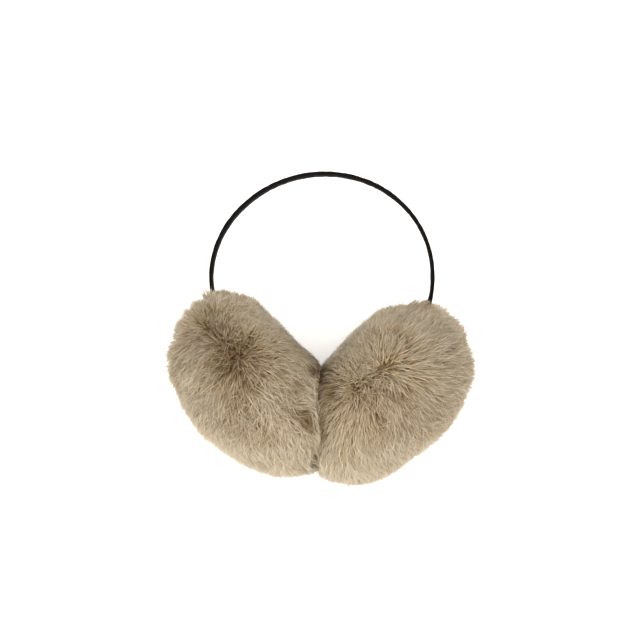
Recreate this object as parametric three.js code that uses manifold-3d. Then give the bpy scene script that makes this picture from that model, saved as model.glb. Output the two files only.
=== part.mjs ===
// Fur earmuffs, lying on their side: two plump faux-fur muffs on the ends of a thin cloth-covered
// spring band. The band is an arch in a level plane, seen edge on from above. Its two straight
// ends run into pockets in the muffs, which tilt towards each other and press together at a seam.
// Millimetres, +Z up. +Y runs from the muffs to the top of the arch, and +X to the right muff.
import * as THREE from "three";
import { mergeVertices } from "three/addons/utils/BufferGeometryUtils.js";
import Module from "manifold-3d";

// The band: a strip on edge, whose centre line is an arch with a straight tail at each end
const archHalfWidth = 66.4;
const archRise = 61.9;
const bandWidth = 9;
const bandThickness = 2;
const bandCorner = 0.6;
const tailLength = 30;
const bandSteps = 56;
// How far the strip's upper edge leans outwards, in degrees, at shares of its length from the
// left end
const bandLean = [
  { along: 0.0, lean: 0 },
  { along: 0.36, lean: 4 },
  { along: 0.5, lean: 2.8 },
  { along: 0.69, lean: -2 },
  { along: 1.0, lean: 0 },
];

// The muffs: a round pad seen from the ear, a dome outwards and a flatter face towards the head
const muffRadius = 66;
const outerDepth = 52;
const innerDepth = 33;
const outerSquareness = 2.15;
const innerSquareness = 2.8;
const muffTilt = 45;
const leftSlide = 22.5;
const rightSlide = 28;
const padOffset = 4;
const seamOffset = -2.7;
const seamGap = 0.4;
const pocketClearance = 0.3;
const floorPress = 7;

// The fur: locks whose roots stand in the pad and whose tips reach the muff's outline. They are
// combed away from a parting on the rim, which lies these lengths along the band's tail and
// towards the head from the top of the rim.
const leftParting = { along: -20, inwards: 0 };
const rightParting = { along: 7, inwards: 5 };
const outerPile = 5.5;
const innerPile = 4;
const lockCount = 92;
const lockWidth = 21;
const lockThickness = 9;
const lockLength = 27;
const lockRoot = 5;
const lockSides = 4;
const lockSteps = 3;
// The share of a lock's length that lies behind its root, and the share of the pile that its tip
// climbs by itself, the rest coming from the pad's curve
const lockBehind = 0.4;
const lockRise = 0.82;
// How full a lock stays towards its tip: 0 is a plain cone
const lockBluntness = 0.35;
// Locks differ in length by up to this share, in a short cycle
const lockSpread = 0.1;
const lockCycle = 11;
const lockStride = 7;
const padDetail = 4;

const furColour = 0xa88f6d;
const bandColour = 0x1c1b1b;

const wasm = await Module();
wasm.setup();

const up = new THREE.Vector3(0, 0, 1);
const midHeight = muffRadius - floorPress;
const tilt = THREE.MathUtils.degToRad(muffTilt);
// Each side is -1 for the left or 1 for the right
const alongTail = (side) => new THREE.Vector3(-side * Math.cos(tilt), -Math.sin(tilt), 0);
const awayFromHead = (side) => new THREE.Vector3(side * Math.sin(tilt), -Math.cos(tilt), 0);
// The arch stops where it runs at the muffs' tilt, measured from its widest level
const archEnd = Math.atan(archRise / archHalfWidth / Math.tan(tilt));

// The value of a table's column at a share, eased between its rows
function fromTable(rows, key, value, share) {
  const after = Math.max(1, rows.findIndex((row) => row[key] >= share));
  const from = rows[after - 1];
  const to = rows[after];
  const eased = THREE.MathUtils.smoothstep(share, from[key], to[key]);
  return THREE.MathUtils.lerp(from[value], to[value], eased);
}

// The centre line of the band, from the end in the left muff to the end in the right one
class BandLine extends THREE.Curve {
  constructor(tail) {
    super();
    this.tail = tail;
    this.arcLengthDivisions = 900;
  }
  // A point on the arch: angle 0 is its left side, 90 degrees its top
  archPoint(angle) {
    return new THREE.Vector3(
      -archHalfWidth * Math.cos(angle),
      archRise * Math.sin(angle),
      midHeight,
    );
  }
  tailPoint(side, reach) {
    const foot = this.archPoint(-archEnd);
    foot.x *= -side;
    return foot.addScaledVector(alongTail(side), reach);
  }
  getPoint(t, target = new THREE.Vector3()) {
    const part = t * 3;
    if (part < 1) return target.copy(this.tailPoint(-1, (1 - part) * this.tail));
    if (part > 2) return target.copy(this.tailPoint(1, (part - 2) * this.tail));
    const sweep = Math.PI + 2 * archEnd;
    return target.copy(this.archPoint(-archEnd + (part - 1) * sweep));
  }
  // Frames that keep the strip on edge, apart from its slight lean
  computeFrenetFrames(segments) {
    const frames = { tangents: [], normals: [], binormals: [] };
    for (let i = 0; i <= segments; i++) {
      const share = i / segments;
      const tangent = this.getTangentAt(share);
      const lean = THREE.MathUtils.degToRad(fromTable(bandLean, "along", "lean", share));
      const across = up.clone().applyAxisAngle(tangent, -lean);
      frames.tangents.push(tangent);
      frames.normals.push(across);
      frames.binormals.push(tangent.clone().cross(across));
    }
    return frames;
  }
}

// The strip's section with rounded corners, grown by a clearance where it is a cutter
function stripSection(clearance) {
  const x = bandWidth / 2 + clearance;
  const y = bandThickness / 2 + clearance;
  const r = bandCorner;
  return new THREE.Shape([
    new THREE.Vector2(-x + r, -y),
    new THREE.Vector2(x - r, -y),
    new THREE.Vector2(x, -y + r),
    new THREE.Vector2(x, y - r),
    new THREE.Vector2(x - r, y),
    new THREE.Vector2(-x + r, y),
    new THREE.Vector2(-x, y - r),
    new THREE.Vector2(-x, -y + r),
  ]);
}

function stripGeometry(clearance) {
  return new THREE.ExtrudeGeometry(stripSection(clearance), {
    steps: bandSteps,
    extrudePath: new BandLine(tailLength + clearance),
  });
}

// A geometry as a manifold-3d solid, facing out
function solidOf(geometry) {
  const bare = geometry.clone();
  bare.deleteAttribute("normal");
  bare.deleteAttribute("uv");
  const merged = mergeVertices(bare, 1e-3);
  const triVerts = new Uint32Array(merged.index.array);
  const mesh = () =>
    new wasm.Mesh({
      numProp: 3,
      vertProperties: new Float32Array(merged.attributes.position.array),
      triVerts,
    });
  const solid = new wasm.Manifold(mesh());
  if (solid.volume() > 0) return solid;
  for (let i = 0; i < triVerts.length; i += 3) {
    [triVerts[i + 1], triVerts[i + 2]] = [triVerts[i + 2], triVerts[i + 1]];
  }
  return new wasm.Manifold(mesh());
}

function geometryOf(solid) {
  const mesh = solid.getMesh();
  const geometry = new THREE.BufferGeometry();
  geometry.setAttribute("position", new THREE.BufferAttribute(mesh.vertProperties, 3));
  geometry.setIndex(new THREE.BufferAttribute(mesh.triVerts, 1));
  return geometry;
}

// Where a muff stands. In its own frame x points away from the head, y down along the band's
// tail and z up, so the right muff is made as a mirror image of the left one.
function muffMatrix(side) {
  const slide = side < 0 ? leftSlide : rightSlide;
  const centre = new BandLine(tailLength)
    .tailPoint(side, slide)
    .addScaledVector(awayFromHead(side), padOffset);
  return new THREE.Matrix4()
    .makeBasis(awayFromHead(side), alongTail(side), up)
    .setPosition(centre);
}

// The distance from the muff's middle to its surface, with the fur's pile taken off by a share:
// an ellipse on the outward side, a squarer curve on the side of the head
function reachOf(direction, pileShare) {
  const radius = muffRadius - outerPile * pileShare;
  const outwards = direction.x >= 0;
  const depth = outwards ? outerDepth - outerPile * pileShare : innerDepth - innerPile * pileShare;
  const power = outwards ? outerSquareness : innerSquareness;
  const round = Math.hypot(direction.y, direction.z) / radius;
  return ((Math.abs(direction.x) / depth) ** power + round ** power) ** (-1 / power);
}

function surfacePoint(direction, pileShare) {
  return direction.clone().multiplyScalar(reachOf(direction, pileShare));
}

// The outward normal of the muff's outline, from two neighbouring points on it
function surfaceNormal(direction) {
  const step = 0.02;
  const nearlyUp = Math.abs(direction.z) > 0.8;
  const helper = nearlyUp ? new THREE.Vector3(1, 0, 0) : up;
  const east = direction.clone().cross(helper).normalize();
  const north = east.clone().cross(direction).normalize();
  const here = surfacePoint(direction, 0);
  const nudged = (way) =>
    surfacePoint(direction.clone().addScaledVector(way, step).normalize(), 0).sub(here);
  return nudged(east).cross(nudged(north)).normalize().negate();
}

function padGeometry() {
  const geometry = new THREE.IcosahedronGeometry(1, padDetail);
  const position = geometry.attributes.position;
  const point = new THREE.Vector3();
  for (let i = 0; i < position.count; i++) {
    point.fromBufferAttribute(position, i).normalize();
    point.copy(surfacePoint(point, 1));
    position.setXYZ(i, point.x, point.y, point.z);
  }
  return geometry;
}

// One lock of fur: a flat pointed tuft that rises out of the pad and lies over in the direction
// in which the fur is combed
function lockGeometry(direction, parting, size) {
  const root = surfacePoint(direction, 1);
  const normal = surfaceNormal(direction);
  const comb = combOf(direction, parting, normal);
  const side = normal.clone().cross(comb).normalize();
  const pile = THREE.MathUtils.lerp(outerPile, innerPile, Math.max(0, -direction.x));
  const length = lockLength * size;
  const geometry = new THREE.ConeGeometry(0.5, 1, lockSides, lockSteps);
  const position = geometry.attributes.position;
  const point = new THREE.Vector3();
  for (let i = 0; i < position.count; i++) {
    point.fromBufferAttribute(position, i);
    const along = point.y + 0.5;
    const fullness = Math.max(1 - along, 1e-6) ** -lockBluntness;
    const rise = THREE.MathUtils.lerp(-lockRoot, pile * lockRise, Math.sqrt(along));
    const placed = root
      .clone()
      .addScaledVector(comb, (along - lockBehind) * length)
      .addScaledVector(normal, rise + point.z * fullness * lockThickness)
      .addScaledVector(side, point.x * fullness * lockWidth);
    position.setXYZ(i, placed.x, placed.y, placed.z);
  }
  return geometry;
}

// Directions spread evenly over a ball
function evenDirection(i, count) {
  const z = 1 - (2 * i + 1) / count;
  const turn = i * Math.PI * (3 - Math.sqrt(5));
  const across = Math.sqrt(1 - z * z);
  return new THREE.Vector3(across * Math.cos(turn), across * Math.sin(turn), z);
}

// The way in which the fur lies at a place: away from the parting, along the surface
function combOf(direction, parting, normal) {
  const away = direction.clone().sub(parting);
  return away.addScaledVector(normal, -away.dot(normal)).normalize();
}

function partingDirection(side) {
  const parting = side < 0 ? leftParting : rightParting;
  return new THREE.Vector3(-parting.inwards, parting.along, muffRadius).normalize();
}

function cutterBox(low, high) {
  const size = high.clone().sub(low);
  const middle = high.clone().add(low).multiplyScalar(0.5);
  const box = new THREE.BoxGeometry(size.x, size.y, size.z);
  return solidOf(box.translate(middle.x, middle.y, middle.z));
}

// The outer body of a cut solid, without the offcuts and the small voids between locks
function largestOf(solid) {
  return solid.decompose().sort((a, b) => b.volume() - a.volume())[0];
}

// One muff: locks fused to the pad, pressed flat at the seam and on the floor, with the pocket
function muffSolid(side) {
  const matrix = muffMatrix(side);
  const parting = partingDirection(side);
  const solids = [solidOf(padGeometry().applyMatrix4(matrix))];
  for (let i = 0; i < lockCount; i++) {
    const share = ((i * lockStride) % lockCycle) / (lockCycle - 1);
    const size = 1 + lockSpread * (2 * share - 1);
    const lock = lockGeometry(evenDirection(i, lockCount), parting, size);
    solids.push(solidOf(lock.applyMatrix4(matrix)));
  }
  const solid = wasm.Manifold.union(solids);
  const far = 4 * muffRadius;
  const seam = seamOffset + (side * seamGap) / 2;
  const beyondSeam = cutterBox(
    new THREE.Vector3(side < 0 ? seam : seam - far, -far, -far),
    new THREE.Vector3(side < 0 ? seam + far : seam, far, far),
  );
  const belowFloor = cutterBox(new THREE.Vector3(-far, -far, -far), new THREE.Vector3(far, far, 0));
  const pocket = solidOf(stripGeometry(pocketClearance));
  return largestOf(solid.subtract(beyondSeam).subtract(belowFloor).subtract(pocket));
}

function named(name, geometry, colour, roughness) {
  geometry.computeVertexNormals();
  const material = new THREE.MeshStandardMaterial({ color: colour, roughness, metalness: 0 });
  const mesh = new THREE.Mesh(geometry, material);
  mesh.name = name;
  return mesh;
}

const earmuffs = new THREE.Group();
earmuffs.add(named("headband", stripGeometry(0), bandColour, 0.75));
earmuffs.add(named("left_muff", geometryOf(muffSolid(-1)), furColour, 0.9));
earmuffs.add(named("right_muff", geometryOf(muffSolid(1)), furColour, 0.9));

// The origin is on the floor, in the middle of the whole
const bounds = new THREE.Box3().setFromObject(earmuffs);
const middle = bounds.getCenter(new THREE.Vector3());
earmuffs.position.set(-middle.x, -middle.y, -bounds.min.z);

export default earmuffs;
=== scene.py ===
import math
import bpy
import numpy as np
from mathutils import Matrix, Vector, kdtree


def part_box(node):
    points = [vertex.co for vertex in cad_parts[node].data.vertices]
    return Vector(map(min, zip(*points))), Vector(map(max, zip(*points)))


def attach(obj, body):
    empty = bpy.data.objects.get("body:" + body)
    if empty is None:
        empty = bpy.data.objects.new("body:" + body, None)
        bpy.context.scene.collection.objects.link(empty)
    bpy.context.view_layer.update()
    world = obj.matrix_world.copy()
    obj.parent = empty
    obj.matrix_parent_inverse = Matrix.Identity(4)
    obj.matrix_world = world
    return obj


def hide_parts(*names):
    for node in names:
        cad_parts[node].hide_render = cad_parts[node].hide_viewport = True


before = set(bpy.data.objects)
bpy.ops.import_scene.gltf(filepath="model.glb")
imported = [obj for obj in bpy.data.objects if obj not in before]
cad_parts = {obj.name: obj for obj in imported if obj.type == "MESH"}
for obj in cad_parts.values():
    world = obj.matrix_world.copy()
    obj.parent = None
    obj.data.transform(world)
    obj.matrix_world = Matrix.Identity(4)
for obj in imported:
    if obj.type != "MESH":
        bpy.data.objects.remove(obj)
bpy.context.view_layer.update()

# The band, and how its arch stands in the frame
ARCH_HALF_WIDTH = 0.0664
ARCH_RISE = 0.0619
BAND_WIDTH = 0.009
BAND_THICKNESS = 0.002
TAIL_LENGTH = 0.030
# How far the upper edge leans outwards, in degrees, at shares of the length from the left end
BAND_LEAN = [(0.0, 0.0), (0.36, 4.0), (0.5, 2.8), (0.69, -2.0), (1.0, 0.0)]
# Where the strip bows out of its true arch, in millimetres, and how full its wrapping is there
BAND_BOW = [
    (0.15, 0.0), (0.22, 0.3), (0.3, -0.4), (0.36, -0.95), (0.43, -0.8),
    (0.5, -0.3), (0.6, 0.4), (0.68, 0.3), (0.78, -0.4), (0.85, 0.0),
]
BAND_FULLNESS = [(0.22, 1.0), (0.3, 1.15), (0.6, 1.15), (0.68, 1.0)]
LINE_SAMPLES = 2000
BAND_STATIONS = 400

# The ribbon that covers it: its repeated length, and its corners, puffed faces and edge grooves
RIBBON_STEP = 0.0012
RIBBON_CORNER = 0.0005
RIBBON_PUFF = 0.00032
EDGE_GROOVE = 0.00022
EDGE_LIP = 0.00035
# Where its faces are cut lengthwise, in shares of the band's width
FACE_CUTS = [-0.36, -0.18, 0, 0.18, 0.36]
# How its width wanders: waves of a strength, a number of radians a metre and a start
WIDTH_WANDER = 0.008
WIDTH_WAVES = [(1.0, 410, 0), (0.7, 983, 1), (0.5, 1730, 2)]
# How its thickness wanders: a strength, radians a metre, and the strength and rate of its unevenness
THICKNESS_WAVES = [(0.05, 655, 2, 210), (0.03, 2100, 3, 530)]
# The weave: how far apart its ribs are, how much they slant, and how far apart its threads are
TWILL_PITCH = 0.00062
TWILL_SLANT = 0.8
THREAD_PITCH = 0.0003

# The muffs
MUFF_RADIUS = 0.066
OUTER_DEPTH = 0.052
INNER_DEPTH = 0.033
OUTER_SQUARENESS = 2.15
INNER_SQUARENESS = 2.8
TILT = math.radians(45)
PAD_OFFSET = 0.004

# What differs between the sides. A parting is a line on the rim, from which the fur is combed
# away: each end is how far it lies down along the band's tail and outwards from the rim's top.
# parting_shade is how dark it is: partly the darker roots that show there, partly painted shade in
# its valley. The fur is thinner in places round the muff, as seen from above: in which direction
# from its middle, in degrees from +X, and by how many millimetres, below 0 where it is fuller.
# tousled is how much the hairs stray from their comb. Where the fur is ruffled, they lie every way:
# the patch's middle and half its width and height, in pixels of the photograph. Then come spots of
# painted shade, given the same way, with how strong they are: creases, the shadow beside the seam
# and broad shade where the fur is less lit; the strong ones are pressed down as well. seam_shade is
# how much lighter the hairs are that end at the seam: a painted highlight on the lit edge there.
SIDES = {
    "left": {
        "sign": -1,
        "slide": 0.0225,
        "parting": [(-0.052, 0.0005), (-0.024, -0.0010)],
        "thin": [
            (16, 1.8), (40, 4.0), (64, 3.8), (80, 3.0), (95, 0.8), (103, 2.0), (110, 4.0), (119, 3.7),
            (126, 5.8), (133, 3.8), (138, 4.2), (150, 5.6), (163, 4.6), (176, 1.7), (188, 3.1),
            (208, 1.8), (222, 0.0), (235, 1.7), (258, 1.8), (275, 0.4), (300, -0.5), (350, 1.0),
        ],
        "parting_shade": 0.56,
        "tousled": 1.45,
        "ruffled": (262, 414, 44, 30),
        # Painted shade: creases by the seam and the notch, and broad shade on the flank, middle and
        # rim
        "shaded_spots": [
            (307, 419, 3.5, 10, 0.85),
            (315, 458, 2.5, 4, 0.9),
            (313, 467, 2.5, 4, 0.75),
            (315, 372, 4, 5, 0.75),
            (302, 402, 15, 22, 0.36),
            (290, 368, 24, 20, 0.34),
            (240, 400, 28, 20, 0.16),
            (168, 365, 12, 50, 0.12),
        ],
        # A painted highlight: the hairs that end at the seam are lighter, as on a lit edge
        "seam_shade": 0.22,
        "seed": 11,
    },
    "right": {
        "sign": 1,
        "slide": 0.028,
        "parting": [(-0.012, -0.0075), (0.008, -0.0095)],
        "thin": [
            (-140, 0.0), (-116, -1.0), (-104, -1.3), (-84, -0.2), (-62, 2.6), (-44, 1.0), (-28, 0.1),
            (-10, 0.8), (3, 0.5), (11, 1.2), (18, 2.0), (26, 3.0), (34, 2.6), (43, 4.6), (48, 5.2),
            (54, 5.2), (60, 5.4), (66, 7.5), (69, 7.6), (77, 4.8), (86, 1.0), (95, 0.7), (104, 1.0),
            (112, 0.3), (132, 1.1), (150, 2.0), (160, 1.7), (180, 1.0),
        ],
        "parting_shade": 0.28,
        "tousled": 1.05,
        "ruffled": (424, 424, 34, 18),
        # Painted shade: the left fur's shadow by the seam, a seam line, and broad shade on middle and
        # rim
        "shaded_spots": [
            (322, 396, 9, 27, 0.5),
            (320, 388, 6, 20, 0.2),
            (319, 436, 2.5, 18, 0.7),
            (325, 369, 3, 3, 0.5),
            (408, 408, 38, 30, 0.31),
            (385, 384, 24, 16, 0.14),
            (452, 345, 42, 48, 0.15),
            (474, 362, 13, 56, 0.24),
        ],
        "seam_shade": 0.0,
        "seed": 23,
    },
}

# The fur: how deep the roots lie under the outline, and how far a hair leans over on its way out
OUTER_PILE = 0.0125
INNER_PILE = 0.0085
OUTER_SWEEP = 0.021
INNER_SWEEP = 0.013
# Where the outward side changes into the side of the head, and how suddenly
SIDE_CHANGE_AT = -0.12
SIDE_CHANGE = 9
CLUMP_SPACING = 0.0018
LOCK_SPACING = 0.0068
# A muff's area, as a share of its sphere's
MUFF_AREA_SHARE = 0.8

# The parting: how far its tousled hair and its darker hair, partly painted shade, reach, how much
# closer together hairs are there, how much of the sweep is left there, and how far off the sweep
# is full
PARTING_REACH = 0.007
PARTING_SHADE = 0.0125
DENSER_AT_PARTING = 0.8
PARTING_SWEEP = 0.38
FULL_SWEEP_AT = 0.020
# How wild and how deep the parting still is at its end towards the band
WILD_AT_BAND = 0.4
DEEP_AT_BAND = 0.35
# Down at the floor, hairs lie further apart: how much, from how far down, and how suddenly
SPARSER_BELOW = 0.4
BELOW_FROM = 0.62
BELOW_CHANGE = 14

# The three coats of hair. steps are the places along a hair that have points, and radii its
# thickness at those between its two ends. spread is how far hairs stray by themselves, and sink how
# far they end under the outline on average, as a share of the pile.
COATS = {
    "underfur": {
        "count": 15000, "steps": [0, 0.6, 1], "radii": [0.0005], "spread": 0.35, "sink": 0.16,
    },
    "fine_hair": {
        "count": 31000, "steps": [0, 0.5, 1], "radii": [0.0002], "spread": 0.26, "sink": 0.03,
    },
    "guard_hair": {
        "count": 14000, "steps": [0, 0.38, 0.72, 1], "radii": [0.0002, 0.00015],
        "spread": 0.18, "sink": -0.03,
    },
}
# Their colours: at the root, halfway, at the tip, and the warm one that is mixed into light hairs
COAT_COLOURS = {
    "underfur": [(122, 93, 55), (148, 126, 95), (170, 153, 128), (157, 138, 111)],
    "fine_hair": [(121, 92, 54), (152, 134, 106), (192, 183, 165), (171, 158, 136)],
    "guard_hair": [(121, 92, 54), (155, 138, 111), (203, 196, 180), (181, 169, 149)],
}

# How far the comb wanders over a muff and strays from lock to lock and from clump to clump, in
# radians, and how much locks and clumps differ in liveliness
COMB_DRIFT = 0.30
LOCK_STRAY = 0.16
CLUMP_STRAY = 0.15
LOCK_LIFE = 0.8
CLUMP_LIFE = 0.6
# Four slow waves in different directions, whose sum wanders
DRIFT_WAVES = [(1.0, 0.3, 0.7), (-0.4, 1.1, 0.5), (0.6, -0.8, 1.2), (0.9, 0.9, -0.6)]
DRIFT_RANGE = 2.4

# How far the sweep, the length and the shade of a hair follow the liveliness of its clump, and
# how far chance changes them
SWEEP_LIFE = 0.14
LENGTH_LIFE = 0.04
SHADE_LIFE = 0.03
SWEEP_CHANCE = 0.22
LENGTH_CHANCE = 0.17
SHADE_CHANCE = 0.10
# How far the shade wanders over a muff, and the radians a metre of that and of the comb's drift
SHADE_DRIFT = 0.10
SHADE_DRIFT_RATE = 70
COMB_DRIFT_RATE = 95
# How far the hairs of a clump and of a lock draw together towards their tips
CLUMP_PULL = 0.10
CLUMP_PULL_CHANCE = 0.2
LOCK_PULL = 0.13
# What is added to these in the zones of a muff. A zone is 1 where it is strongest: wild at the
# parting, ruffle in the ruffled patch, flank halfway up, band_end round the band's way in, and
# upright in the part of that which is halfway up, where tufts stand.
MORE_STRAY = {"wild": 4, "ruffle": 2.2}
MORE_SWEEP = {"band_end": -0.2, "upright": -0.5}
MORE_LENGTH_LIFE = {"flank": 0.04, "upright": 0.12, "ruffle": 0.07}
MORE_CLUMP_PULL = {"upright": 0.35, "ruffle": 0.2}
MORE_LOCK_PULL = {"band_end": 0.25}
# What else the zones change: shorter wild hairs, longer ones at the band, a lesser sweep and a
# darker, painted shade where the fur is ruffled, and a shade that follows the liveliness more, as
# painted light on the higher clumps
WILD_SHORT = 0.22
BAND_END_LONG = 0.04
RUFFLE_SWEEP = 0.25
RUFFLE_SHADE = 0.10
RUFFLE_SHADE_LIFE = 0.07
FLANK_SHADE_LIFE = 0.12
# Where the band_end zone starts and how wide its soft border is, in shares of the way to the band
BAND_END_FROM = 0.35
BAND_END_BORDER = 0.4

# Where the muffs meet: how unevenly the fur ends there, how far the seam is moved to the right,
# how wide the line of lighter hairs is, a painted highlight, and how far off the pads stay
SEAM_FRINGE = 0.0009
SEAM_LAP = 0.0006
SEAM_LINE = 0.0016
PAD_FROM_SEAM = 0.0035
# Where the seam wanders off its straight line: at a pixel row of the photograph, by how many
# millimetres to the right
SEAM_WANDER = [(366, 0.0), (388, -1.8), (402, -1.8), (417, -0.6), (433, 0.6), (455, 1.3), (472, 0.8)]
# Under the muffs the fur is pressed flat: how high hairs and the pad stay, and how much higher
# than its tip a hair starts there
FLOOR_SKIN = 0.0006
PAD_CLEARANCE = 0.0032
FLAT_LIE = 0.0045
# How high the fur lies that the photograph shows, for reading its pixels
UPPER_FUR = 0.10
# Spots of painted shade, some of them creases: the lowest height of their hairs, how much darker
# they are, how much of that is left at the foot of a hair, and how far the hairs of a crease are
# pushed down and aside, the last in shares of their size
SHADED_SPOTS_ABOVE = 0.05
PAINTED_SPOT_SHADE = 0.5
SPOT_SHADE_AT_FOOT = 0.4
CREASE_DEPTH = 0.005
CREASE_PUSH = 0.45
# The backing: its depth as a share of the pile, its dent under the parting, and its ripples, each
# with a height, how close together they are and a start
BACKING_DEPTH = 0.7
PARTING_DENT = 0.003
BACKING_RIPPLES = [(0.0007, 26, 1), (0.0004, 61, 4)]
# How far the shade differs round a hair
ROUND_SHADE = 0.006

STUDIO_WHITE = (255, 253, 250)


def srgb(red, green, blue):
    """A colour as seen on a screen, 0 to 255, as the linear colour that Blender wants."""
    def linear(value):
        share = value / 255
        return share / 12.92 if share <= 0.04045 else ((share + 0.055) / 1.055) ** 2.4
    return (linear(red), linear(green), linear(blue), 1.0)


def read_off(table, places, **options):
    """The values of a table at places along it, with straight lines between its rows."""
    return np.interp(places, *zip(*table), **options)


class Value:
    """A shader socket on which Python's operators build Math nodes."""

    def __init__(self, look, socket):
        self.look = look
        self.socket = socket

    def maths(self, operation, *others):
        sockets = dict(enumerate([self, *others]))
        return self.look.node("ShaderNodeMath", {"operation": operation}, sockets)

    def __add__(self, other):
        return self.maths("ADD", other)

    def __radd__(self, other):
        return self.maths("ADD", other)

    def __sub__(self, other):
        return self.maths("SUBTRACT", other)

    def __rsub__(self, other):
        return self * -1 + other

    def __mul__(self, other):
        return self.maths("MULTIPLY", other)

    def __rmul__(self, other):
        return self.maths("MULTIPLY", other)


class Look:
    """One material, with its Principled shader and the means to add nodes to it."""

    def __init__(self, name):
        self.material = bpy.data.materials.new(name)
        self.material.use_nodes = True
        self.tree = self.material.node_tree
        self.shader = self.tree.nodes["Principled BSDF"]

    def feed(self, socket, value):
        if isinstance(value, Value):
            self.tree.links.new(value.socket, socket)
        else:
            socket.default_value = value

    def node(self, kind, settings=None, sockets=None, out=0):
        made = self.tree.nodes.new(kind)
        for name, setting in (settings or {}).items():
            if name == "stops":
                self.set_stops(made.color_ramp, setting)
            else:
                setattr(made, name, setting)
        for name, value in (sockets or {}).items():
            self.feed(made.inputs[name], value)
        return Value(self, made.outputs[out])

    def set_stops(self, ramp, stops):
        while len(ramp.elements) > 1:
            ramp.elements.remove(ramp.elements[-1])
        ramp.elements[0].position = stops[0][0]
        ramp.elements[0].color = stops[0][1]
        for position, colour in stops[1:]:
            ramp.elements.new(position).color = colour

    def mix(self, factor, first, second, blend="MIX"):
        settings = {"data_type": "RGBA", "blend_type": blend}
        return self.node("ShaderNodeMix", settings, {0: factor, 6: first, 7: second}, out=2)

    def parts(self, vector):
        split = self.node("ShaderNodeSeparateXYZ", None, {0: vector})
        return [Value(self, output) for output in split.socket.node.outputs]

    def noise(self, vector, scale, detail=3.0, roughness=0.5):
        sockets = {"Vector": vector, "Scale": scale, "Detail": detail, "Roughness": roughness}
        return self.node("ShaderNodeTexNoise", None, sockets)

    def bump(self, height, strength, distance):
        sockets = {"Height": height, "Strength": strength, "Distance": distance}
        self.feed(self.shader.inputs["Normal"], self.node("ShaderNodeBump", None, sockets))

    def set(self, **sockets):
        for name, value in sockets.items():
            self.feed(self.shader.inputs[name.replace("_", " ")], value)


def hair_look(kind):
    """Faux fur: its map holds a hair's shade across, painted light and shade too, and root to tip up.
    """
    look = Look(kind.replace("_", " "))
    root, middle, tip, warm = [srgb(*colour) for colour in COAT_COLOURS[kind]]
    uv = look.node("ShaderNodeUVMap", {"uv_map": "OFBake"})
    shade, way, _ = look.parts(uv)
    stops = [(0.0, root), (0.30, root), (0.58, middle), (0.95, tip)]
    along = look.node("ShaderNodeValToRGB", {"stops": stops}, {0: way})
    # What the shade multiplies the colour by, down to the warm brown of painted shade
    dark = (0.36, 0.268, 0.155, 1.0)
    even = (0.97, 0.95, 0.91, 1.0)
    light = (1.36, 1.39, 1.42, 1.0)
    stops = [(0.0, dark), (0.42, even), (1.0, light)]
    gain = look.node("ShaderNodeValToRGB", {"stops": stops}, {0: shade})
    colour = look.mix(1.0, along, gain, "MULTIPLY")
    colour = look.mix(shade * 0.35, colour, warm)
    look.set(Base_Color=colour, Roughness=0.62, Specular_IOR_Level=0.16)
    look.set(Sheen_Weight=0.12, Sheen_Roughness=0.5, Sheen_Tint=srgb(236, 220, 194))
    return look.material


def backing_look():
    """The matted down at the foot of the fur."""
    look = Look("matted underfur")
    place = look.node("ShaderNodeTexCoord", out=3)
    mats = look.noise(place, 420.0, 5.0, 0.7)
    stops = [(0.3, srgb(106, 86, 60)), (0.7, srgb(136, 114, 86))]
    colour = look.node("ShaderNodeValToRGB", {"stops": stops}, {0: mats})
    look.set(Base_Color=colour, Roughness=0.9, Specular_IOR_Level=0.1)
    look.bump(mats, 0.8, 0.0008)
    return look.material


def stripes(across, pitch):
    """A wave from 0 to 1 that repeats at the pitch."""
    return 0.5 + 0.5 * (across * (2 * math.pi / pitch)).maths("SINE")


def ribbon_look():
    """Matt black twill ribbon. Its map runs along the band and round its section, in metres."""
    look = Look("black twill ribbon")
    uv = look.node("ShaderNodeUVMap", {"uv_map": "ribbon"})
    along, around, _ = look.parts(uv)
    ribs = stripes(along + around * TWILL_SLANT, TWILL_PITCH)
    threads = stripes(around, THREAD_PITCH)
    fluff = look.noise(uv, 900.0, 4.0, 0.6)
    weave = 0.65 * ribs + 0.15 * threads + 0.35 * fluff
    stops = [(0.25, srgb(4, 3, 3)), (0.75, srgb(15, 12, 12)), (1.0, srgb(30, 26, 26))]
    colour = look.node("ShaderNodeValToRGB", {"stops": stops}, {0: weave})
    look.set(Base_Color=colour, Roughness=0.78 - 0.12 * weave, Specular_IOR_Level=0.05)
    look.set(Sheen_Weight=0.012, Sheen_Roughness=0.4)
    look.bump(weave, 0.6, 0.00012)
    return look.material


def floor_look():
    """Plain and pale, all but white."""
    look = Look("pale floor")
    place = look.node("ShaderNodeTexCoord", out=3)
    mottle = look.noise(place, 3.0)
    stops = [(0.3, srgb(247, 247, 247)), (0.7, srgb(250, 250, 250))]
    look.set(Base_Color=look.node("ShaderNodeValToRGB", {"stops": stops}, {0: mottle}))
    look.set(Roughness=0.7, Specular_IOR_Level=0.2)
    # A faint glow of its own, painted light, keeps the floor between the muffs nearly white
    look.set(Emission_Color=srgb(255, 255, 255), Emission_Strength=0.16)
    return look.material


# The band's line

band_low, band_high = (np.array(corner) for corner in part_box("headband"))
left_high = np.array(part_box("left_muff")[1])
right_low = np.array(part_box("right_muff")[0])
SEAM = (left_high[0] + right_low[0]) / 2
ARCH_CENTRE = np.array([
    (band_low[0] + band_high[0]) / 2,
    band_high[1] - ARCH_RISE - BAND_THICKNESS / 2,
    (band_low[2] + band_high[2]) / 2,
])
ARCH_END = math.atan(ARCH_RISE / ARCH_HALF_WIDTH / math.tan(TILT))
UP = np.array([0.0, 0.0, 1.0])


def along_tail(sign):
    """The way that the band's straight end runs into the muff of one side."""
    return np.array([-sign * math.cos(TILT), -math.sin(TILT), 0.0])


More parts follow.
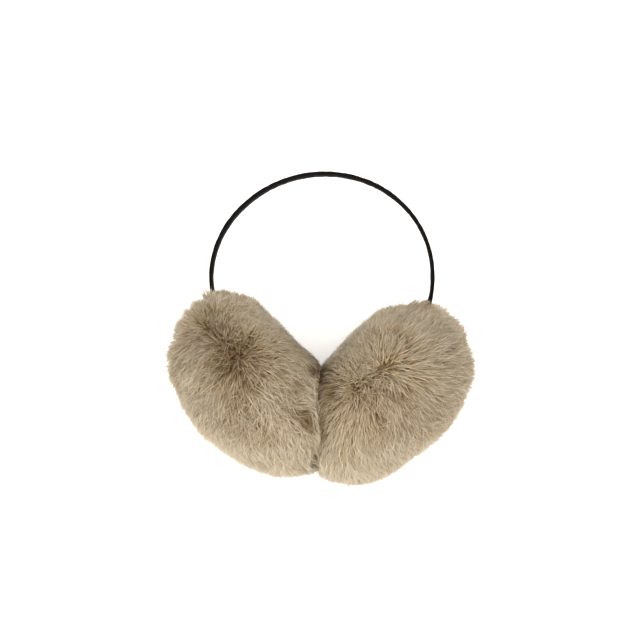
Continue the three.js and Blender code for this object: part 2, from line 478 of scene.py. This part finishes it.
def away_from_head(sign):
    """Square to the band's end, from the head outwards."""
    return np.array([sign * math.sin(TILT), -math.cos(TILT), 0.0])


def arch_point(angle, sign=-1):
    """A point of the arch: angle 0 is its widest place on one side, a quarter turn its top."""
    across = sign * ARCH_HALF_WIDTH * np.cos(angle)
    return ARCH_CENTRE + np.stack([across, ARCH_RISE * np.sin(angle), angle * 0], -1)


def tail_point(sign, reach):
    """A point on the band's straight end, which starts where the arch stops."""
    return arch_point(np.float64(-ARCH_END), sign) + along_tail(sign) * reach


def band_stations(count):
    """Evenly spaced points along the band's centre line, and how far along each one is."""
    angles = np.linspace(-ARCH_END, math.pi + ARCH_END, LINE_SAMPLES)
    line = np.vstack([
        tail_point(-1, TAIL_LENGTH),
        arch_point(angles),
        tail_point(1, TAIL_LENGTH),
    ])
    run = np.concatenate([[0], np.cumsum(np.linalg.norm(np.diff(line, axis=0), axis=1))])
    wanted = np.linspace(0, run[-1], count)
    places = np.stack([np.interp(wanted, run, line[:, i]) for i in range(3)], -1)
    return places, wanted


# The photograph: how wide its frame is where the band lies, and where the arch's middle shows
FRAME_PIXELS = 640
METRES_PER_PIXEL = 0.0006
ARCH_PIXEL = (322.5, 276.8)
LENS = 100.0
SENSOR = 36.0
CAMERA_RISE = FRAME_PIXELS * METRES_PER_PIXEL * LENS / SENSOR
CAMERA_PLACE = ARCH_CENTRE + np.array([
    (FRAME_PIXELS / 2 - ARCH_PIXEL[0]) * METRES_PER_PIXEL,
    (ARCH_PIXEL[1] - FRAME_PIXELS / 2) * METRES_PER_PIXEL,
    CAMERA_RISE,
])


def seen_at(pixel_x, pixel_y, height):
    """Where a pixel of the photograph lies at a height above the floor."""
    scale = METRES_PER_PIXEL * (CAMERA_PLACE[2] - height) / CAMERA_RISE
    across = (pixel_x - FRAME_PIXELS / 2) * scale
    down = (pixel_y - FRAME_PIXELS / 2) * scale
    return np.array([CAMERA_PLACE[0] + across, CAMERA_PLACE[1] - down]), scale


# Making meshes

def deselect():
    """Starts from object mode with nothing selected."""
    if bpy.context.object and bpy.context.object.mode != "OBJECT":
        bpy.ops.object.mode_set(mode="OBJECT")
    bpy.ops.object.select_all(action="DESELECT")


def coordinates(piece):
    places = np.empty(len(piece.data.vertices) * 3)
    piece.data.vertices.foreach_get("co", places)
    return places.reshape(-1, 3)


def set_coordinates(piece, places):
    piece.data.vertices.foreach_set("co", places.astype(np.float32).ravel())
    piece.data.update()


def applied(piece, kind, **settings):
    """A modifier that is given its settings and applied at once."""
    modifier = piece.modifiers.new(kind.title(), kind)
    for name, setting in settings.items():
        setattr(modifier, name, setting)
    bpy.context.view_layer.objects.active = piece
    bpy.ops.object.modifier_apply(modifier=modifier.name)


def finished(piece, name, material, node):
    """Gives a piece its name and material, hangs it on the root body and hides the CAD node it
    replaces.
    """
    piece.name = name
    piece.data.name = name
    piece.data.materials.clear()
    piece.data.materials.append(material)
    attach(piece, "root")
    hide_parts(node)


# The headband

def headband():
    """The strip is modelled straight, one short length that is repeated, and then bent."""
    deselect()
    bpy.ops.mesh.primitive_cube_add(size=1)
    strip = bpy.context.object
    strip.dimensions = (RIBBON_STEP, BAND_THICKNESS, BAND_WIDTH)
    bpy.ops.object.transform_apply(location=True, rotation=True, scale=True)
    bpy.ops.object.mode_set(mode="EDIT")
    bpy.ops.mesh.select_mode(type="EDGE")
    bpy.ops.mesh.select_all(action="DESELECT")
    bpy.ops.object.mode_set(mode="OBJECT")
    for edge in strip.data.edges:
        ends = [strip.data.vertices[i].co for i in edge.vertices]
        edge.select = abs(ends[0].x - ends[1].x) > RIBBON_STEP / 2
    bpy.ops.object.mode_set(mode="EDIT")
    bpy.ops.mesh.bevel(offset=RIBBON_CORNER, segments=3, affect="EDGES")
    for place in (-EDGE_LIP, 0, EDGE_LIP):
        bpy.ops.mesh.select_all(action="SELECT")
        bpy.ops.mesh.bisect(plane_co=(0, place, 0), plane_no=(0, 1, 0))
    for share in FACE_CUTS:
        bpy.ops.mesh.select_all(action="SELECT")
        bpy.ops.mesh.bisect(plane_co=(0, 0, share * BAND_WIDTH), plane_no=(0, 0, 1))
    bpy.ops.mesh.select_mode(type="FACE")
    bpy.ops.mesh.select_all(action="DESELECT")
    bpy.ops.object.mode_set(mode="OBJECT")
    # The two end faces go, so that each length joins on to the next
    for face in strip.data.polygons:
        face.select = abs(face.normal.x) > 0.9
    bpy.ops.object.mode_set(mode="EDIT")
    bpy.ops.mesh.delete(type="FACE")
    bpy.ops.object.mode_set(mode="OBJECT")

    places, run = band_stations(BAND_STATIONS)
    count = int(run[-1] / RIBBON_STEP)
    applied(
        strip, "ARRAY", count=count, use_relative_offset=False, use_constant_offset=True,
        constant_offset_displace=(RIBBON_STEP, 0, 0), use_merge_vertices=True,
        merge_threshold=RIBBON_STEP / 100,
    )
    bpy.ops.object.mode_set(mode="EDIT")
    bpy.ops.mesh.select_all(action="DESELECT")
    bpy.ops.mesh.select_mode(type="EDGE")
    bpy.ops.mesh.select_non_manifold()
    bpy.ops.mesh.fill()
    bpy.ops.mesh.select_all(action="SELECT")
    bpy.ops.mesh.normals_make_consistent(inside=False)
    bpy.ops.object.mode_set(mode="OBJECT")
    bend_strip(strip, places, run)
    bpy.ops.object.shade_smooth()
    finished(strip, "ribbon_headband", ribbon_look(), "headband")


def bend_strip(strip, places, run):
    """Lays the straight strip along the band's line, on edge, with its map made first."""
    flat = coordinates(strip)
    length = run[-1]
    along = (flat[:, 0] - flat[:, 0].min()) / np.ptp(flat[:, 0]) * length
    out = flat[:, 1]
    width = flat[:, 2]
    around = width + np.sign(out) * BAND_THICKNESS
    uv = strip.data.uv_layers.new(name="ribbon")
    corner = np.empty(len(strip.data.loops), np.int32)
    strip.data.loops.foreach_get("vertex_index", corner)
    uv.uv.foreach_set("vector", np.stack([along, around], -1)[corner].astype(np.float32).ravel())

    # A groove along both edges, where the two ribbons meet, and a slight puff between
    on_edge = np.abs(width) > BAND_WIDTH / 2 - RIBBON_CORNER / 3
    groove = on_edge & (np.abs(out) < EDGE_LIP / 2)
    width = width - np.sign(width) * groove * EDGE_GROOVE
    puff = RIBBON_PUFF * np.cos(np.clip(width / BAND_WIDTH, -0.5, 0.5) * math.pi)
    out = out + np.sign(out) * puff
    # The ribbons' edges wander a little, and so does their thickness
    wave = 0
    for strength, rate, start in WIDTH_WAVES:
        wave = wave + strength * np.sin(along * rate + start)
    width = width * (1 + WIDTH_WANDER * wave)
    out = out * read_off(BAND_FULLNESS, along / length)
    for strength, rate, unevenness, slow_rate in THICKNESS_WAVES:
        out = out * (1 + strength * np.sin(along * rate + unevenness * np.sin(along * slow_rate)))

    centre = np.stack([np.interp(along, run, places[:, i]) for i in range(3)], -1)
    way = np.gradient(places, run, axis=0)
    way = np.stack([np.interp(along, run, way[:, i]) for i in range(3)], -1)
    way /= np.linalg.norm(way, axis=1, keepdims=True)
    outwards = np.cross(UP, way)
    bow = read_off(BAND_BOW, along / length) / 1000
    centre = centre + outwards * bow[:, None]
    lean = np.radians(read_off(BAND_LEAN, along / length))[:, None]
    across = UP * np.cos(lean) + outwards * np.sin(lean)
    sideways = outwards * np.cos(lean) - UP * np.sin(lean)
    set_coordinates(strip, centre + sideways * out[:, None] + across * width[:, None])


# The form of a muff, in its own frame: x away from the head, y down the band's tail, z up

def muff_frame(side):
    """Where a muff's middle is, and the matrix whose columns are its own axes."""
    sign = side["sign"]
    centre = tail_point(sign, side["slide"]) + away_from_head(sign) * PAD_OFFSET
    axes = np.stack([away_from_head(sign), along_tail(sign), UP], -1)
    return centre, axes


def outline(directions):
    """The distance from the muff's middle to the tips of the fur in each direction."""
    x = directions[..., 0]
    power = np.where(x >= 0, OUTER_SQUARENESS, INNER_SQUARENESS)
    depth = np.where(x >= 0, OUTER_DEPTH, INNER_DEPTH)
    round_part = np.hypot(directions[..., 1], directions[..., 2]) / MUFF_RADIUS
    return ((np.abs(x) / depth) ** power + round_part ** power) ** (-1 / power)


def unit(vectors):
    """The vectors at a length of 1."""
    return vectors / np.maximum(np.linalg.norm(vectors, axis=-1, keepdims=True), 1e-12)


def outline_normal(directions):
    """The outward normal of the outline, from its gradient."""
    step = 1e-4
    here = outline(directions)
    slope = []
    for axis in np.eye(3):
        ahead = unit(directions + axis * step)
        slope.append((outline(ahead) - here) / step)
    slope = np.stack(slope, -1)
    slope -= directions * np.sum(slope * directions, -1, keepdims=True)
    return unit(directions * here[..., None] - slope)


def side_share(directions):
    """1 on the outward side of a muff and 0 on the side of the head, with a soft change."""
    return 1 / (1 + np.exp(-SIDE_CHANGE * (directions[..., 0] - SIDE_CHANGE_AT)))


def pile_at(directions):
    """How deep the roots lie under the outline."""
    return INNER_PILE + (OUTER_PILE - INNER_PILE) * side_share(directions)


def even_directions(count, random, side):
    """Random directions whose points lie evenly over the outline, by area.

    They lie closer together at the parting, and further apart where the muff meets the floor.
    """
    kept = []
    found = 0
    while found < count:
        directions = unit(random.normal(size=(count * 2, 3)))
        reach = outline(directions)
        facing = np.sum(outline_normal(directions) * directions, -1)
        weight = reach ** 2 / facing
        distance = combed(directions, side)[1]
        weight *= 1 + DENSER_AT_PARTING * np.exp(-(distance / PARTING_REACH) ** 2)
        past = -directions[:, 2] - BELOW_FROM
        weight *= 1 - SPARSER_BELOW / (1 + np.exp(-BELOW_CHANGE * past))
        chosen = directions[random.random(len(directions)) < weight / weight.max()]
        kept.append(chosen)
        found += len(chosen)
    return np.vstack(kept)[:count]


def parting_line(side):
    """The two ends of a muff's parting, in its own frame."""
    ends = [np.array([out, along, 0.0]) for along, out in side["parting"]]
    for end in ends:
        end[2] = math.sqrt(MUFF_RADIUS ** 2 - end[1] ** 2)
    return ends


def combed(directions, side):
    """Which way the fur lies: away from the nearest point of the parting, along the outline.

    Also how far off that point is, and its share of the way along the parting.
    """
    start, end = parting_line(side)
    places = directions * outline(directions)[:, None]
    share = np.clip((places - start) @ (end - start) / np.sum((end - start) ** 2), 0, 1)
    away = places - (start + share[:, None] * (end - start))
    distance = np.linalg.norm(away, axis=1)
    normal = outline_normal(directions)
    away = away - normal * np.sum(away * normal, -1, keepdims=True)
    return unit(away), distance, share


def turned(vectors, axes, angles):
    """Vectors turned about axes that stand square to them."""
    angles = angles[:, None]
    return vectors * np.cos(angles) + np.cross(axes, vectors) * np.sin(angles)


def drift(places, scale, phase):
    """A smooth wandering number from about -1 to 1 for each place."""
    total = 0
    for index, wave in enumerate(DRIFT_WAVES):
        total = total + np.sin(places @ np.array(wave) * scale + phase + 1.7 * index)
    return total / DRIFT_RANGE


def nearest(points, places):
    """For each place, the index of the nearest of the points."""
    tree = kdtree.KDTree(len(points))
    for index, point in enumerate(points):
        tree.insert(point, index)
    tree.balance()
    return np.array([tree.find(place)[1] for place in places])


class Lay:
    """How the fur of one muff lies: in locks, which are made of clumps.

    A lock is combed one way, and its clumps stray from that a little. lively tells how much
    higher, lighter and longer than the rest a clump is; the lightness is partly at random and
    partly painted light on the higher clumps.
    """

    def __init__(self, side, random):
        self.side = side
        area = 4 * math.pi * MUFF_RADIUS ** 2 * MUFF_AREA_SHARE
        self.locks = even_directions(int(area / LOCK_SPACING ** 2), random, side)
        self.clumps = even_directions(int(area / CLUMP_SPACING ** 2), random, side)
        self.places = self.clumps * outline(self.clumps)[:, None]
        self.lock = nearest(self.locks * outline(self.locks)[:, None], self.places)
        comb = combed(self.clumps, side)[0]
        turn = COMB_DRIFT * drift(self.places, COMB_DRIFT_RATE, side["seed"])
        turn += LOCK_STRAY * side["tousled"] * random.normal(size=len(self.locks))[self.lock]
        turn += CLUMP_STRAY * side["tousled"] * random.normal(size=len(self.clumps))
        self.comb = turned(comb, outline_normal(self.clumps), turn)
        self.lively = LOCK_LIFE * random.normal(size=len(self.locks))[self.lock]
        self.lively += CLUMP_LIFE * random.normal(size=len(self.clumps))


def parting_depth(directions, side):
    """1 in the deepest part of the parting, falling off round it and towards the band."""
    _, distance, share = combed(directions, side)
    depth = DEEP_AT_BAND + (1 - DEEP_AT_BAND) * share
    return depth * np.exp(-(distance / PARTING_SHADE) ** 2)


def zones_of(roots, places, side):
    """How far each root lies in each zone of the fur, and how full the sweep is, from 0 to 1."""
    _, distance, share = combed(roots, side)
    wildness = WILD_AT_BAND + (1 - WILD_AT_BAND) * share
    band_end = np.clip((-roots[:, 1] - BAND_END_FROM) / BAND_END_BORDER, 0, 1)
    return {
        "swept": np.clip(distance / FULL_SWEEP_AT, 0, 1),
        "wild": wildness * np.exp(-(distance / PARTING_REACH) ** 2),
        "ruffle": ruffled(places, side),
        "flank": 1 - np.abs(roots[:, 2]),
        "band_end": band_end,
        "upright": band_end * np.clip(1.25 - np.abs(roots[:, 2]) / 0.5, 0, 1),
    }


def zoned(base, more, zones):
    """A base value and what each zone adds to it."""
    for zone, amount in more.items():
        base = base + amount * zones[zone]
    return base


def strands(lay, coat, random):
    """The paths of a coat's hairs, which have a point at each of its steps, and their shades."""
    side = lay.side
    count = coat["count"]
    roots = even_directions(count, random, side)
    places = roots * outline(roots)[:, None]
    zones = zones_of(roots, places, side)
    clump = nearest(lay.places, places)
    lively = lay.lively[clump]
    normal = outline_normal(roots)
    comb = lay.comb[clump]
    comb = unit(comb - normal * np.sum(comb * normal, -1, keepdims=True))
    stray = coat["spread"] * zoned(side["tousled"], MORE_STRAY, zones) * random.normal(size=count)
    comb = turned(comb, normal, stray)

    # How far each hair leans over
    sweep = INNER_SWEEP + (OUTER_SWEEP - INNER_SWEEP) * side_share(roots)
    sweep *= PARTING_SWEEP + (1 - PARTING_SWEEP) * zones["swept"]
    sweep *= zoned(1, MORE_SWEEP, zones)
    sweep *= 1 + SWEEP_LIFE * lively + SWEEP_CHANCE * random.normal(size=count)
    # Tousled fur leans over less
    sweep *= (1.5 - 0.5 * side["tousled"]) * (1 - RUFFLE_SWEEP * zones["ruffle"])

    # How far under the outline it ends, as a share of the pile
    short = coat["sink"] + LENGTH_CHANCE * np.abs(random.normal(size=count))
    short += WILD_SHORT * zones["wild"]
    short -= zoned(LENGTH_LIFE, MORE_LENGTH_LIFE, zones) * lively
    short -= BAND_END_LONG * zones["band_end"]

    # A clump's hairs draw together towards their tips, and so do a lock's, most near the band
    pull = zoned(CLUMP_PULL + CLUMP_PULL_CHANCE * random.random(count), MORE_CLUMP_PULL, zones)
    gather = (lay.clumps[clump] - roots) * pull[:, None]
    pull = zoned(LOCK_PULL, MORE_LOCK_PULL, zones)
    gather += (lay.locks[lay.lock[clump]] - roots) * pull[:, None]
    paths = []
    for step in coat["steps"]:
        lean = (sweep * step ** 1.5 / outline(roots))[:, None]
        direction = unit(roots + gather * step ** 1.4 + comb * lean)
        climb = 1 - (1 - step) ** 1.35
        inset = pile_at(roots) * (1 - climb * (1 - short)) + thinness(direction, side)
        paths.append(direction * (outline(direction) - inset)[:, None])

    # Lively clumps are lighter, partly at random and partly as painted light on the higher clumps,
    # most of all halfway up and in the ruffled patch, which painted shade also darkens
    ruffle = zones["ruffle"]
    flank = zones["flank"]
    life = SHADE_LIFE + FLANK_SHADE_LIFE * flank * (2 - flank) + RUFFLE_SHADE_LIFE * ruffle
    shade = 0.5 + life * lively - RUFFLE_SHADE * ruffle
    shade += SHADE_CHANCE * (1 + 0.5 * ruffle) * random.normal(size=count)
    shade += SHADE_DRIFT * drift(places, SHADE_DRIFT_RATE, side["seed"] + 2)
    # Darker at the parting: partly the darker roots there, partly painted shade in its valley
    shade -= side["parting_shade"] * parting_depth(roots, side)
    return np.stack(paths, 1), shade


def thinness(directions, side):
    """How much lower the fur is than the outline, in metres."""
    axes = muff_frame(side)[1]
    seen = directions @ axes.T
    angle = np.degrees(np.arctan2(seen[..., 1], seen[..., 0]))
    flat = np.hypot(seen[..., 0], seen[..., 1])
    return read_off(side["thin"], angle, period=360) / 1000 * flat ** 2


def ruffled(places, side):
    """1 in the middle of the patch where the hairs lie every way, and 0 far from it."""
    centre, axes = muff_frame(side)
    pixel_x, pixel_y, half_width, half_height = side["ruffled"]
    spot, scale = seen_at(pixel_x, pixel_y, UPPER_FUR)
    size = np.array([half_width, half_height]) * scale
    away = ((centre + places @ axes.T)[:, :2] - spot) / size
    return np.exp(-np.sum(away ** 2, -1)) * (places[:, 2] > 0)


def shaded_and_pressed(paths, shade, side):
    """Spots of painted shade on a muff's upper side; in strong ones the hairs are pressed into a
    crease.
    """
    for pixel_x, pixel_y, half_width, half_height, strength in side["shaded_spots"]:
        spot, scale = seen_at(pixel_x, pixel_y, UPPER_FUR)
        size = np.array([half_width, half_height]) * scale
        ends = (paths[..., :2] - spot) / size
        step = np.diff(ends, axis=1)
        share = -np.sum(ends[:, :-1] * step, -1) / np.maximum(np.sum(step ** 2, -1), 1e-9)
        closest = ends[:, :-1] + np.clip(share, 0, 1)[..., None] * step
        near = np.exp(-np.sum(closest ** 2, -1) ** 1.5) * (paths[:, 1:, 2] > SHADED_SPOTS_ABOVE)
        near[:, 0] *= SPOT_SHADE_AT_FOOT
        shade = shade - PAINTED_SPOT_SHADE * strength * near.max(axis=1)
        # A spot of half the strength or less is painted shade only, and not pressed
        pressed = max(2 * strength - 1, 0) * near
        paths[:, 1:, :2] += unit(closest * size) * size * CREASE_PUSH * pressed[..., None]
        paths[:, 1:, 2] -= CREASE_DEPTH * pressed
    return paths, shade


def seam_at(y):
    """Where the seam runs, from left to right, at a place along it."""
    scale = seen_at(0, 0, UPPER_FUR)[1]
    row = FRAME_PIXELS / 2 + (CAMERA_PLACE[1] - y) / scale
    return SEAM + SEAM_LAP + read_off(SEAM_WANDER, row) / 1000


def kept_clear(paths, side, random):
    """Hairs are bent aside where they would cross the seam or the floor."""
    sign = side["sign"]
    give = SEAM_FRINGE * random.normal(size=len(paths))[:, None]
    past = (seam_at(paths[..., 1]) - paths[..., 0]) * sign + give
    paths[..., 0] += np.maximum(past, 0) * sign
    lift = FLOOR_SKIN * (1 + random.random(len(paths)))[:, None]
    lift = lift + FLAT_LIE * np.linspace(1, 0, paths.shape[1])
    paths[..., 2] = np.maximum(paths[..., 2], lift)
    return paths


def hair_mesh(name, paths, radii, shade):
    """Closed tapered hairs: a point, a ring of three at each inner step, and a point."""
    count, steps, _ = paths.shape
    rings = steps - 2
    size = 3 * rings + 2
    points = np.empty((count, size, 3))
    points[:, 0] = paths[:, 0]
    points[:, -1] = paths[:, -1]
    for ring in range(rings):
        way = unit(paths[:, ring + 2] - paths[:, ring])
        aside = unit(np.cross(way, UP) + 1e-6)
        above = np.cross(aside, way)
        for corner in range(3):
            turn = 2 * math.pi * corner / 3 + 0.5
            offset = aside * math.cos(turn) + above * math.sin(turn)
            points[:, 1 + 3 * ring + corner] = paths[:, ring + 1] + offset * radii[ring]
    faces = []
    for corner in range(3):
        after = (corner + 1) % 3
        faces.append((0, 1 + after, 1 + corner))
        for ring in range(rings - 1):
            low = 1 + 3 * ring
            high = low + 3
            faces.append((low + corner, low + after, high + corner))
            faces.append((low + after, high + after, high + corner))
        last = 1 + 3 * (rings - 1)
        faces.append((last + corner, last + after, size - 1))
    faces = np.array(faces)
    indices = (faces[None] + (np.arange(count) * size)[:, None, None]).reshape(-1)
    mesh = bpy.data.meshes.new(name)
    mesh.vertices.add(count * size)
    mesh.vertices.foreach_set("co", points.astype(np.float32).ravel())
    mesh.loops.add(len(indices))
    mesh.loops.foreach_set("vertex_index", indices.astype(np.int32))
    mesh.polygons.add(len(indices) // 3)
    mesh.polygons.foreach_set("loop_start", np.arange(0, len(indices), 3, dtype=np.int32))
    mesh.polygons.foreach_set("use_smooth", np.ones(len(indices) // 3, bool))
    mesh.update(calc_edges=True)

    steps_up = np.linspace(0, 1, steps)
    way_up = np.concatenate([[0], np.repeat(steps_up[1:-1], 3), [1]])
    beside = np.concatenate([[0], np.tile([-1, 0, 1], rings), [0]]) * ROUND_SHADE
    across = np.clip(shade, 0.02, 0.98)[:, None] + beside[None]
    uv = np.stack(np.broadcast_arrays(across, way_up[None]), -1).reshape(-1, 2)
    mesh.uv_layers.new(name="OFBake").uv.foreach_set(
        "vector", uv[indices].astype(np.float32).ravel()
    )
    piece = bpy.data.objects.new(name, mesh)
    bpy.context.collection.objects.link(piece)
    return piece


def muff_backing(name, side):
    """The stuffed pad under the fur, down to the roots, pressed flat at the seam and floor."""
    deselect()
    bpy.ops.mesh.primitive_ico_sphere_add(subdivisions=6, radius=1)
    pad = bpy.context.object
    directions = unit(coordinates(pad))
    centre, axes = muff_frame(side)
    inset = pile_at(directions) * BACKING_DEPTH + thinness(directions, side)
    inset += PARTING_DENT * parting_depth(directions, side)
    ripple = 0
    for height, rate, start in BACKING_RIPPLES:
        ripple = ripple + height * drift(directions, rate, start)
    local = directions * (outline(directions) - inset + ripple)[:, None]
    places = centre + local @ axes.T
    past = (SEAM - places[:, 0]) * side["sign"] + PAD_FROM_SEAM
    places[:, 0] += np.maximum(past, 0) * side["sign"]
    places[:, 2] = np.maximum(places[:, 2], PAD_CLEARANCE)
    set_coordinates(pad, places)
    # The right muff's own axes are a mirror image, which turns its faces inside out
    if side["sign"] > 0:
        pad.data.flip_normals()
    bpy.ops.object.shade_smooth()
    finished(pad, f"{name}_pad", backing_look(), f"{name}_muff")


def muff_fur(name, side, looks):
    """Three coats: short thick underfur, fine hair through it, and longer guard hair."""
    random = np.random.default_rng(side["seed"])
    centre, axes = muff_frame(side)
    lay = Lay(side, random)
    for kind, coat in COATS.items():
        paths, shade = strands(lay, coat, random)
        paths, shade = shaded_and_pressed(centre + paths @ axes.T, shade, side)
        paths = kept_clear(paths, side, random)
        # A painted highlight: the hairs that end at the seam on the upper side are lighter
        tips = paths[:, -1]
        from_seam = tips[:, 0] - seam_at(tips[:, 1])
        by_seam = np.exp(-(from_seam / SEAM_LINE) ** 2) * (tips[:, 2] > centre[2])
        shade += side["seam_shade"] * by_seam
        piece = hair_mesh(f"{name}_{kind}", paths, coat["radii"], shade)
        finished(piece, piece.name, looks[kind], f"{name}_muff")


def lights_and_floor():
    deselect()
    bpy.ops.mesh.primitive_plane_add(size=8)
    floor = bpy.context.object
    floor.name = "floor"
    floor.data.materials.append(floor_look())
    world = bpy.data.worlds.new("studio")
    bpy.context.scene.world = world
    world.use_nodes = True
    sky = world.node_tree.nodes["Background"].inputs
    sky["Color"].default_value = srgb(*STUDIO_WHITE)
    sky["Strength"].default_value = 1.14
    soft_box("key", place=(0.08, -1.0, 0.75), size=0.9, power=15.0, colour=srgb(*STUDIO_WHITE))
    soft_box("top", place=(0.1, 0.3, 1.6), size=1.6, power=22.0, colour=srgb(255, 252, 247))
    bpy.context.scene.view_settings.view_transform = "Standard"


def soft_box(name, place, size, power, colour):
    """A square area light that faces the middle of the muffs."""
    lamp = bpy.data.lights.new(name, "AREA")
    lamp.size = size
    lamp.energy = power
    lamp.color = colour[:3]
    box = bpy.data.objects.new(name, lamp)
    box.location = place
    box.rotation_euler = (Vector((0, 0, 0.05)) - Vector(place)).to_track_quat("-Z", "Y").to_euler()
    bpy.context.collection.objects.link(box)


def photo_camera():
    """Straight above the band, with the arch where the photograph has it."""
    shot = bpy.data.cameras.new("photo camera")
    shot.lens = LENS
    shot.sensor_width = SENSOR
    shot.clip_end = 20
    camera = bpy.data.objects.new("photo camera", shot)
    camera.location = CAMERA_PLACE
    bpy.context.collection.objects.link(camera)
    bpy.context.scene.camera = camera


photo_camera()
headband()
fur_looks = {kind: hair_look(kind) for kind in COATS}
for side_name, side_facts in SIDES.items():
    muff_backing(side_name, side_facts)
    muff_fur(side_name, side_facts, fur_looks)
lights_and_floor()
